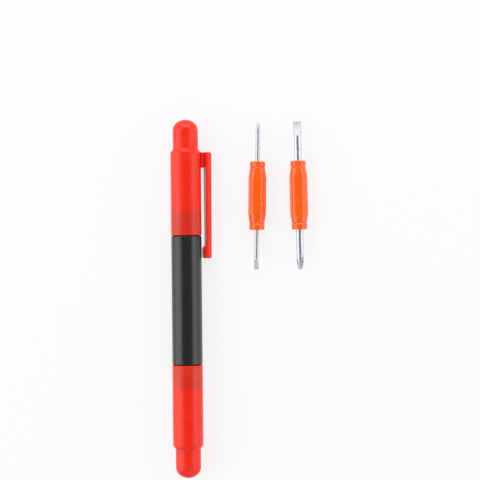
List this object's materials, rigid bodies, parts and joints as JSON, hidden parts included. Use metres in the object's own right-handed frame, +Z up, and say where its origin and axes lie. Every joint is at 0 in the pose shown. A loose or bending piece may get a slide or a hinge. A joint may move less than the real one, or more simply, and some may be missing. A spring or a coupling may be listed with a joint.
{
  "type": "pocket screwdriver",
  "caption": "Pen-shaped pocket screwdriver with push-on red caps, a black barrel and a pocket clip, with its double-ended blades in six-sided orange sleeves beside it.",
  "frame": {"origin": "middle of the barrel's visible length, on the axis of the pen", "axes": "+Y along the pen towards the clip, +Z up from the surface that the pen and the blades lie on, +X towards the clip and the blades"},
  "size_m": [0.0544, 0.1422, 0.0121],
  "materials": {
    "barrel_plastic": "satin moulded",
    "cap_plastic": "gloss, slightly translucent",
    "sleeve_plastic": "satin gloss moulded",
    "blade_steel": "bright plated, ground at the tips"
  },
  "bodies": {
    "barrel": {"barrel": "barrel_plastic"},
    "upper_cap": {"upper_cap": "cap_plastic"},
    "pocket_clip": {"pocket_clip": "cap_plastic"},
    "lower_cap": {"lower_cap": "cap_plastic"},
    "small_blade": {"small_rod": "blade_steel", "small_sleeve": "sleeve_plastic"},
    "large_blade": {"large_rod": "blade_steel", "large_sleeve": "sleeve_plastic"}
  },
  "joints": [
    {"name": "upper_cap_pull", "type": "slide", "parent": "barrel", "child": "upper_cap", "axis": [0, 1, 0], "range_m": [0, 0.045]},
    {"name": "lower_cap_pull", "type": "slide", "parent": "barrel", "child": "lower_cap", "axis": [0, -1, 0], "range_m": [0, 0.045]},
    {"name": "clip_flex", "type": "hinge", "parent": "upper_cap", "child": "pocket_clip", "pos_m": [0.00841, 0.0511, -0.00291], "axis": [0.3274, 0, 0.9449], "range_deg": [0, 3.5], "stiffness_Nm_per_rad": 1.2},
    {"name": "small_blade_lift", "type": "slide", "parent": "barrel", "child": "small_blade", "axis": [0, 0, 1], "range_m": [0, 0.03]},
    {"name": "large_blade_lift", "type": "slide", "parent": "barrel", "child": "large_blade", "axis": [0, 0, 1], "range_m": [0, 0.03]}
  ]
}
